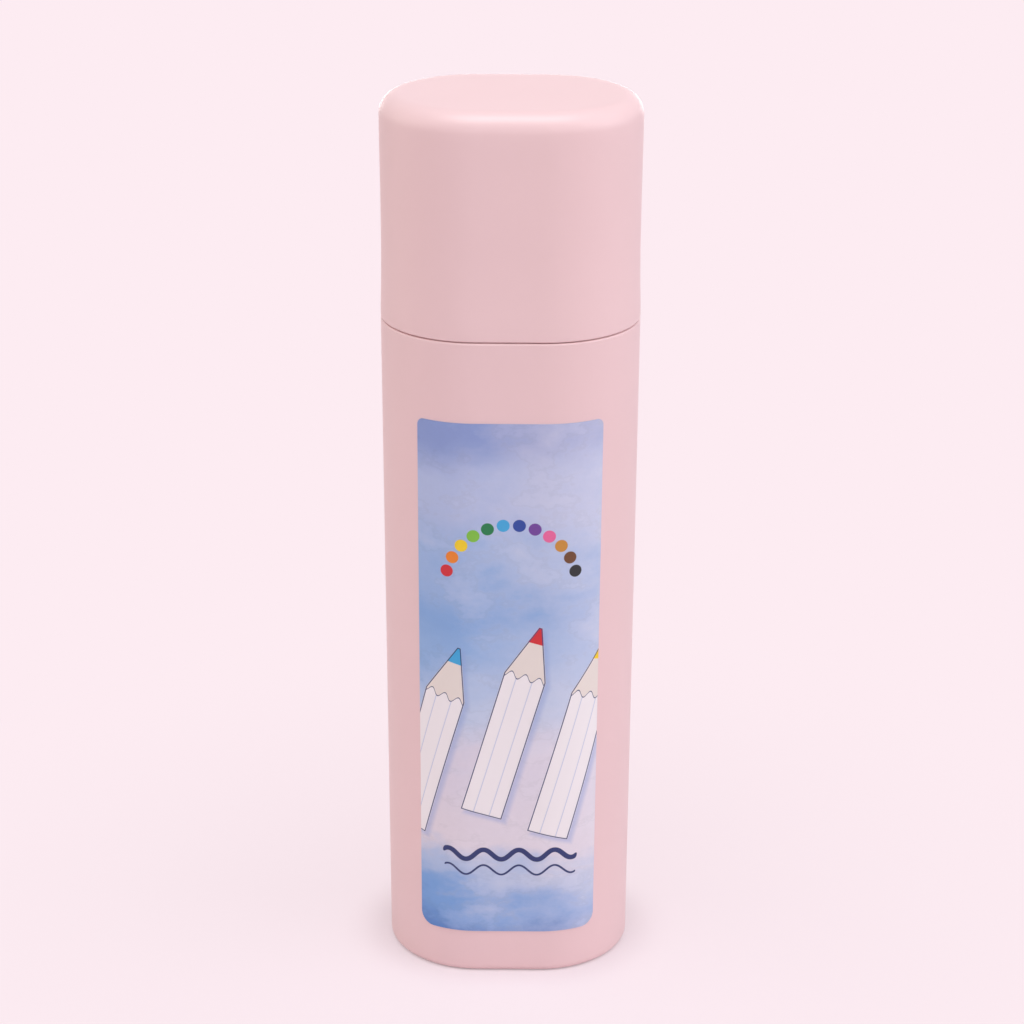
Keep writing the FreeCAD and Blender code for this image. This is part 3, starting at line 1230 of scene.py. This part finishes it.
@dataclass
class Case:
    """Moulded case with its stepped neck, guide ribs and snap beads. Sizes in millimetres."""

    sizes: CaseSizes
    neck_radius: float = 18.1
    bore_radius: float = 17.1
    floor: float = 2.8
    recess: float = 0.6
    rim_width: float = 3.0
    gate_radius: float = 1.5
    gate_depth: float = 0.3
    gate_round: float = 0.12
    rim_round: float = 0.25
    base_round: float = 1.4
    shoulder_round: float = 0.4
    neck_foot_round: float = 0.15
    neck_edge_round: float = 0.45
    bore_edge_round: float = 0.25
    floor_round: float = 1.0
    catch_reach: float = 18.25
    rib_radius: float = 0.5
    rib_length: float = 9.0
    rib_middle: float = 146.5
    rib_turns: tuple[float, ...] = (-45.0, 0.0, 45.0)
    bead_radius: float = 0.6
    bead_length: float = 8.0
    bead_level: float = 149.0

    def profile(self) -> Profile:
        """Draws the profile from the middle of the underside, up the outside, over the neck and to the floor.

        Returns:
            The profile.
        """
        sizes = self.sizes
        rim = sizes.radius_at(0.0) - self.rim_width
        bottom = self.bore_radius - sizes.draft * (sizes.neck_top - self.floor)
        shoulder = sizes.shoulder - sizes.seam_gap
        return Profile((
            Corner(0.0, self.recess + self.gate_depth, flat_share=0.0),
            Corner(self.gate_radius, self.recess + self.gate_depth, self.gate_round, flat_share=0.0),
            Corner(self.gate_radius, self.recess, self.gate_round, flat_share=0.0),
            Corner(rim, self.recess, self.rim_round),
            Corner(rim, 0.0, self.rim_round),
            Corner(sizes.radius_at(0.0), 0.0, self.base_round),
            Corner(sizes.radius, shoulder, self.shoulder_round),
            Corner(self.neck_radius, shoulder, self.neck_foot_round),
            Corner(self.neck_radius, sizes.neck_top, self.neck_edge_round),
            Corner(self.bore_radius, sizes.neck_top, self.bore_edge_round),
            Corner(bottom, self.floor, self.floor_round),
            Corner(0.0, self.floor, flat_share=0.0),
        ))

    def rib_places(self) -> list[Vector]:
        """Works out the places of the guide ribs, at the round ends of the neck.

        Returns:
            The middle of each rib.
        """
        reach = self.catch_reach - self.rib_radius
        places = []
        for side in (-1, 1):
            for turn in self.rib_turns:
                angle = math.radians(turn)
                across = side * (self.sizes.flat_half + reach * math.cos(angle))
                places.append(Vector((across, reach * math.sin(angle), self.rib_middle)) * MM)
        return places

    def bead_places(self) -> list[Vector]:
        """Middle of each snap bead, on the flat sides of the neck."""
        depth = self.catch_reach - self.bead_radius
        return [Vector((0.0, side * depth, self.bead_level)) * MM for side in (-1, 1)]

    def build(self, modeller: Modeller, plastic: bpy.types.Material) -> list[bpy.types.Object]:
        """Builds the case and dresses it.

        Args:
            modeller: makes the meshes.
            plastic: the moulding's material.

        Returns:
            The pieces.
        """
        trees = modeller.trees
        points = self.profile().points()
        shell = modeller.make("case_shell", trees.oval_sweep, points, self.sizes.sweep(plastic))
        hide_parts("case_body")
        ribs = modeller.make("neck_ribs", trees.catch_bars, self.rib_places(), {
            "Radius": self.rib_radius * MM, "Length": self.rib_length * MM, "Surface": plastic})
        beads = modeller.make("snap_beads", trees.catch_bars, self.bead_places(), {
            "Radius": self.bead_radius * MM, "Length": self.bead_length * MM,
            "Turn": (0.0, math.pi / 2, 0.0), "Surface": plastic})
        pieces = [shell, ribs, beads]
        for piece in pieces:
            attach(piece, "case")
        return pieces


@dataclass
class Cap:
    """Push-on cap, with its round top edge and its socket for the neck. Sizes in millimetres.

    The waist is how far the wall stands in at each height above the mouth.
    """

    sizes: CaseSizes
    radius: float = 19.495
    top: float = 185.0
    roof: float = 182.8
    wall: float = 1.2
    top_round: float = 4.0
    roof_round: float = 0.8
    mouth_round: float = 0.35
    lip_round: float = 0.3
    round_steps: int = 10
    waist: tuple[tuple[float, float], ...] = (
        (2.0, 0.0), (4.0, 0.06), (7.0, 0.15), (10.0, 0.20), (14.0, 0.24), (18.0, 0.24), (24.0, 0.22),
        (30.0, 0.17), (36.0, 0.11), (45.0, 0.06))

    def profile(self) -> Profile:
        """Draws the profile from the middle of the roof's underside, round the mouth and over the top.

        Returns:
            The profile.
        """
        lip = self.sizes.shoulder
        outside = [Corner(self.radius - inset, lip + rise) for rise, inset in self.waist]
        crown = outside.pop()
        return Profile((
            Corner(0.0, self.roof, flat_share=0.0),
            Corner(crown.radius - self.wall, self.roof, self.roof_round),
            Corner(self.sizes.socket_radius, self.sizes.neck_top),
            Corner(self.sizes.socket_radius, lip, self.mouth_round),
            Corner(self.radius, lip, self.lip_round),
            *outside,
            Corner(crown.radius, crown.level, self.top_round),
            Corner(0.0, self.top, flat_share=0.0),
        ), self.round_steps)

    def build(self, modeller: Modeller, plastic: bpy.types.Material) -> list[bpy.types.Object]:
        """Builds the cap and dresses it.

        Args:
            modeller: makes the meshes.
            plastic: the moulding's material.

        Returns:
            The pieces.
        """
        points = self.profile().points()
        shell = modeller.make("cap_shell", modeller.trees.oval_sweep, points, self.sizes.sweep(plastic))
        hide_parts("cap")
        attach(shell, "cap")
        return [shell]


@dataclass
class Label:
    """Printed film on the front of the case. Sizes in millimetres.

    The trims are how much shorter the film reaches to the right than to the left, at the bottom and the top.
    """

    sizes: CaseSizes
    width: float = 38.9
    bottom: float = 9.8
    height: float = 113.45
    lower_corner: float = 3.0
    upper_corner: float = 1.4
    shift: float = 0.4
    lower_trim: float = 1.2
    upper_trim: float = 0.5
    glue: float = 0.03
    thickness: float = 0.12
    columns: int = 81
    corner_steps: int = 10
    rows: int = 12

    def outline(self) -> list[Vector]:
        """Draws the film's outline, from the bottom up, with round corners.

        Returns:
            Left reach, right reach and level of each row.
        """
        lower = self._corner(self.lower_corner)
        upper = [(run, self.height - level) for run, level in reversed(self._corner(self.upper_corner))]
        straight = self.height - self.lower_corner - self.upper_corner
        levels = [self.lower_corner + straight * row / self.rows for row in range(1, self.rows)]
        rows = lower + [(self.width / 2, level) for level in levels] + upper
        return [Vector((run, run - self._trim(level), self.bottom + level)) * MM for run, level in rows]

    def _trim(self, level: float) -> float:
        """How much shorter the film reaches to the right at a height above its bottom edge."""
        return self.lower_trim + (self.upper_trim - self.lower_trim) * level / self.height

    def _corner(self, corner: float) -> list[tuple[float, float]]:
        """Draws a round corner, from the end of the film inwards.

        Args:
            corner: its radius.

        Returns:
            Half width and height of each point.
        """
        turns = [math.pi / 2 * step / self.corner_steps for step in range(self.corner_steps + 1)]
        inset = self.width / 2 - corner
        return [(inset + corner * math.sin(turn), corner - corner * math.cos(turn)) for turn in turns]

    def build(self, modeller: Modeller, film: bpy.types.Material) -> list[bpy.types.Object]:
        """Builds the label and dresses it.

        Args:
            modeller: makes the meshes.
            film: the printed film's material.

        Returns:
            The pieces.
        """
        label = modeller.make("label_film", modeller.trees.wrapped_film, self.outline(), {
            "Columns": self.columns, "Flat Half": self.sizes.flat_half * MM,
            "Radius": (self.sizes.radius_at(0.0) + self.glue) * MM, "Draft": self.sizes.draft,
            "Shift": self.shift * MM, "Thickness": self.thickness * MM, "Width": self.width * MM,
            "Bottom": self.bottom * MM, "Height": self.height * MM, "Surface": film})
        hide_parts("front_label")
        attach(label, "case")
        return [label]


@dataclass
class Pencil:
    """One coloured pencil: lacquered, sharpened wood round a waxy lead. Sizes in millimetres."""

    colour: PencilColour
    sides: int = 6
    flats: float = 7.022
    corner_round: float = 0.7
    corner_steps: int = 4
    flat_steps: int = 8
    lead_radius: float = 1.25
    lead_foot_round: float = 0.1
    lead_tip_round: float = 0.22
    lead_round_steps: int = 5
    lead_arc_steps: int = 14
    bore_radius: float = 1.3
    point_length: float = 17.0
    point_radius: float = 0.4
    end_bevel: float = 0.25
    skin: float = 0.08

    def section(self) -> list[Vector]:
        """Draws the hexagon with its rounded corners, counter-clockwise and closed.

        Returns:
            The points of its outline.
        """
        part = 2 * math.pi / self.sides
        corner = (self.flats / 2 - self.corner_round) / math.cos(part / 2)
        turned = Matrix.Rotation(part, 3, "Z")
        points = []
        for side in range(self.sides):
            middle = side * part
            shares = [step / self.corner_steps for step in range(self.corner_steps + 1)]
            turns = [middle - part / 2 + part * share for share in shares]
            centre = Vector((math.cos(middle), math.sin(middle), 0.0)) * corner
            points += [centre + Vector((math.cos(a), math.sin(a), 0.0)) * self.corner_round for a in turns]
            start, finish = points[-1], turned @ points[-1 - self.corner_steps]
            points += [start.lerp(finish, step / self.flat_steps) for step in range(1, self.flat_steps)]
        return [point * MM for point in points + points[:1]]

    def standing(self) -> tuple[Vector, float, float]:
        """Reads where the pencil stands from the frame.

        Returns:
            The middle of its foot, its turn and its length.
        """
        low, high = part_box(f"{self.colour.word}_pencil_lead")
        foot = Vector(((low.x + high.x) / 2, (low.y + high.y) / 2, low.z))
        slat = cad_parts[f"{self.colour.word}_pencil_slat_1"].data.vertices
        lean = sum((vertex.co for vertex in slat), Vector()) / len(slat) - foot
        return foot, math.atan2(lean.y, lean.x) - math.pi / 2, high.z - low.z

    def lead_profile(self, length: float) -> Profile:
        """Draws the profile of the lead, from the middle of its foot to the middle of its tip.

        Args:
            length: the lead's length.

        Returns:
            The profile.
        """
        taper = (self.flats / 2 - self.point_radius) / self.point_length
        shoulder = length - (self.lead_radius - self.point_radius) / taper
        return Profile((
            Corner(0.0, 0.0),
            Corner(self.lead_radius, 0.0, self.lead_foot_round),
            Corner(self.lead_radius, shoulder),
            Corner(self.point_radius, length, self.lead_tip_round),
            Corner(0.0, length),
        ), self.lead_round_steps)

    def build(self, modeller: Modeller, lacquer: bpy.types.Material, wood: bpy.types.Material,
              wax: bpy.types.Material) -> list[bpy.types.Object]:
        """Builds the pencil and dresses it.

        Args:
            modeller: makes the meshes.
            lacquer: material of the painted wood.
            wood: material of the bare wood.
            wax: material of the lead.

        Returns:
            The pieces.
        """
        word = self.colour.word
        trees = modeller.trees
        foot, turn, length = self.standing()
        casing = modeller.make(f"{word}_casing", trees.pencil_casing, self.section(), {
            "Length": length, "Point Length": self.point_length * MM, "Point Radius": self.point_radius * MM,
            "Flats": self.flats * MM, "Lead Radius": self.bore_radius * MM, "End Bevel": self.end_bevel * MM,
            "Skin": self.skin * MM, "Turn": turn, "Place": foot, "Wood": wood, "Lacquer": lacquer})
        casing.data.attributes.remove(casing.data.attributes["band"])
        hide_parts(f"{word}_pencil_slat_1", f"{word}_pencil_slat_2")
        lead = modeller.make(f"{word}_lead_core", trees.oval_sweep, self.lead_profile(length / MM).points(), {
            "Flat Half": 0.0, "Arc Steps": self.lead_arc_steps, "Place": foot, "Surface": wax})
        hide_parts(f"{word}_pencil_lead")
        for piece in (casing, lead):
            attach(piece, f"{word}_pencil")
        return [casing, lead]


@dataclass(frozen=True)
class Lamp:
    """One soft lamp: where it stands, how large and how strong it is, and its colour."""

    name: str
    place: tuple[float, float, float]
    size: tuple[float, float]
    watts: float
    colour: tuple[float, float, float]

    def build(self, target: Vector) -> None:
        """Adds the lamp to the scene.

        Args:
            target: what it points at.
        """
        light = bpy.data.lights.new(self.name, "AREA")
        light.shape = "RECTANGLE"
        light.size, light.size_y = self.size
        light.energy = self.watts
        light.color = self.colour
        lamp = bpy.data.objects.new(self.name, light)
        lamp.location = self.place
        lamp.rotation_euler = (target - lamp.location).to_track_quat("-Z", "Y").to_euler()
        bpy.context.scene.collection.objects.link(lamp)


@dataclass(frozen=True)
class Studio:
    """Pale floor and backdrop, soft light and the camera.

    Each glow step is where it starts and ends, in metres from the foot of the box, and how much glow it adds.
    The paper's colour is darkened close round the foot as a painted contact shadow, out to a reach given in
    metres.
    """

    backdrop: str = "fdecf2"
    fill: float = 0.25
    fill_colour: Colour4 = (1.0, 0.985, 0.975, 1.0)
    floor_half: float = 3.0
    glow_least: float = 0.16
    glow_steps: tuple[tuple[float, float, float], ...] = (
        (-0.0014, -0.0002, 0.30), (0.0, 0.012, 0.32), (0.02, 0.14, 0.22))
    paper_tone: float = 0.90
    # Painted contact shadow: how dark the paper is at the foot, and how far out the painted shade reaches.
    painted_shade_tone: float = 0.79
    painted_shade_reach: float = 0.008
    lamps: tuple[Lamp, ...] = (
        Lamp("main_card", (0.0, -0.20, 0.97), (0.6, 0.5), 5.55, (0.92, 0.96, 1.0)),
        Lamp("right_card", (0.90, -0.30, 0.55), (0.7, 0.9), 3.7, (0.95, 0.965, 1.0)),
        Lamp("left_card", (-0.90, -0.30, 0.55), (0.7, 0.9), 0.95, (1.0, 0.89, 0.79)),
        Lamp("right_side", (0.95, 0.15, 0.30), (0.6, 0.6), 0.95, (0.80, 0.91, 1.0)),
        Lamp("left_side", (-0.95, 0.15, 0.30), (0.6, 0.6), 1.5, (1.0, 0.95, 0.83)),
        Lamp("back_strip", (0.0, 0.90, 0.20), (0.9, 0.1), 0.6, (1.0, 0.97, 0.95)),
        Lamp("back_card", (0.0, 0.90, 0.09), (0.9, 0.16), 1.6, (1.0, 0.96, 0.955)),
        Lamp("front_card", (0.0, -1.0, 0.22), (0.9, 0.4), 1.50, (1.0, 0.955, 0.98)),
    )
    pitch: float = 0.3712
    roll: float = 0.0039
    yaw: float = 0.00512
    lens: float = 98.19
    sensor: float = 36.0
    nearest: float = 0.01
    farthest: float = 20.0
    distance: float = 0.575
    target: tuple[float, float, float] = (0.00043, 0.0, 0.0972)

    def build(self, foot: CaseSizes) -> None:
        """Builds the whole studio.

        Args:
            foot: sizes of what stands on the floor.
        """
        bpy.context.scene.view_settings.view_transform = "Standard"
        self._floor(foot)
        self._world()
        for lamp in self.lamps:
            lamp.build(Vector(self.target))
        self._camera()

    @staticmethod
    def _seen(graph: Graph) -> Field:
        """Tells the rays that show the background: from the camera, or by way of a gloss or clear surface.

        Args:
            graph: the tree.

        Returns:
            One for such a ray, and nought for any other.
        """
        path = graph.node("ShaderNodeLightPath")
        seen = Field(graph, path.outputs["Is Camera Ray"])
        for label in ("Is Glossy Ray", "Is Transmission Ray"):
            seen = graph.math("MAXIMUM", seen, path.outputs[label])
        return seen

    def _floor(self, foot: CaseSizes) -> None:
        """Adds the floor, which keeps the object's shadow, has a painted contact shadow that darkens its
        paper close round the foot, and runs into the backdrop farther off.

        Args:
            foot: sizes of what stands on the floor.
        """
        half = self.floor_half
        corners = [(-half, -half, 0), (half, -half, 0), (half, half, 0), (-half, half, 0)]
        mesh = bpy.data.meshes.new("studio_floor")
        mesh.from_pydata(corners, [], [(0, 1, 2, 3)])
        floor = bpy.data.objects.new("studio_floor", mesh)
        bpy.context.scene.collection.objects.link(floor)
        material = bpy.data.materials.new("studio_paper")
        material.use_nodes = True
        graph = Graph(material.node_tree)
        graph.tree.nodes.remove(graph.tree.nodes["Principled BSDF"])
        colour = linear(self.backdrop)
        glow = graph.field("ShaderNodeEmission", {"Color": colour, "Strength": 1.0})
        x, y, _ = graph.parts(graph.node("ShaderNodeTexCoord").outputs["Object"])
        past_flat = graph.math("MAXIMUM", graph.math("ABSOLUTE", x) - foot.flat_half * MM, 0.0)
        away = graph.length(past_flat, y) - foot.radius_at(0.0) * MM
        # Painted contact shadow: the paper's colour is darker close round the foot and back to its own tone
        # farther off.
        painted_shade_lift = self.paper_tone - self.painted_shade_tone
        tone = graph.ramp(away, 0.0, self.painted_shade_reach) * painted_shade_lift + self.painted_shade_tone
        paper = graph.field("ShaderNodeBsdfDiffuse", {"Color": graph.toned(colour, tone)})
        share = self.glow_least
        for start, end, more in self.glow_steps:
            share = graph.ramp(away, start, end) * more + share
        both = graph.field("ShaderNodeMixShader", {0: self._seen(graph) * share, 1: paper, 2: glow})
        graph.feed(graph.tree.nodes["Material Output"].inputs["Surface"], both)
        mesh.materials.append(material)

    def _world(self) -> None:
        """Sets the backdrop that the camera sees and the soft fill that lights the object."""
        world = bpy.data.worlds.new("studio")
        world.use_nodes = True
        bpy.context.scene.world = world
        graph = Graph(world.node_tree)
        fill = graph.tree.nodes["Background"]
        graph.feed(fill.inputs["Color"], self.fill_colour)
        graph.feed(fill.inputs["Strength"], self.fill)
        backdrop = graph.field("ShaderNodeBackground", {"Color": linear(self.backdrop), "Strength": 1.0})
        both = graph.field("ShaderNodeMixShader", {0: self._seen(graph), 1: fill.outputs[0], 2: backdrop})
        graph.feed(graph.tree.nodes["World Output"].inputs["Surface"], both)

    def _camera(self) -> None:
        """Adds the camera at the height, tilt and distance of the photograph."""
        data = bpy.data.cameras.new("camera")
        data.lens = self.lens
        data.sensor_width = self.sensor
        data.clip_start, data.clip_end = self.nearest, self.farthest
        camera = bpy.data.objects.new("camera", data)
        turn = Matrix.Rotation(self.yaw, 3, "Z")
        back = Vector((0.0, -math.cos(self.pitch), math.sin(self.pitch)))
        camera.location = turn @ (Vector(self.target) + back * self.distance)
        camera.rotation_mode = "QUATERNION"
        aim = (turn @ -back).to_track_quat("-Z", "Y")
        camera.rotation_quaternion = aim @ Quaternion((0.0, 0.0, 1.0), self.roll)
        bpy.context.scene.collection.objects.link(camera)
        bpy.context.scene.camera = camera


def main() -> None:
    """Builds the studio and every piece, and reports each piece."""
    logging.basicConfig(level=logging.INFO, format="%(name)s: %(message)s")
    sizes = CaseSizes()
    Studio().build(sizes)
    modeller = Modeller(ShapeTrees())
    effects = Effects()
    plastic = SatinPlastic("pink_plastic", "eccacb").material(effects)
    label = Label(sizes)
    film = LabelPrint("label_print", label.width, label.height).material(effects)
    wood = SharpenedWood("pencil_wood").material(effects)
    pieces = Case(sizes).build(modeller, plastic)
    pieces += Cap(sizes).build(modeller, plastic)
    pieces += label.build(modeller, film)
    for colour in PencilColour:
        lacquer = GlossLacquer(f"{colour.word}_lacquer", colour.value).material(effects)
        wax = WaxLead(f"{colour.word}_lead", colour.value).material(effects)
        pieces += Pencil(colour).build(modeller, lacquer, wood, wax)
    for piece in pieces:
        LOG.info("%s: %d faces", piece.name, len(piece.data.polygons))


if __name__ == "__main__":
    main()
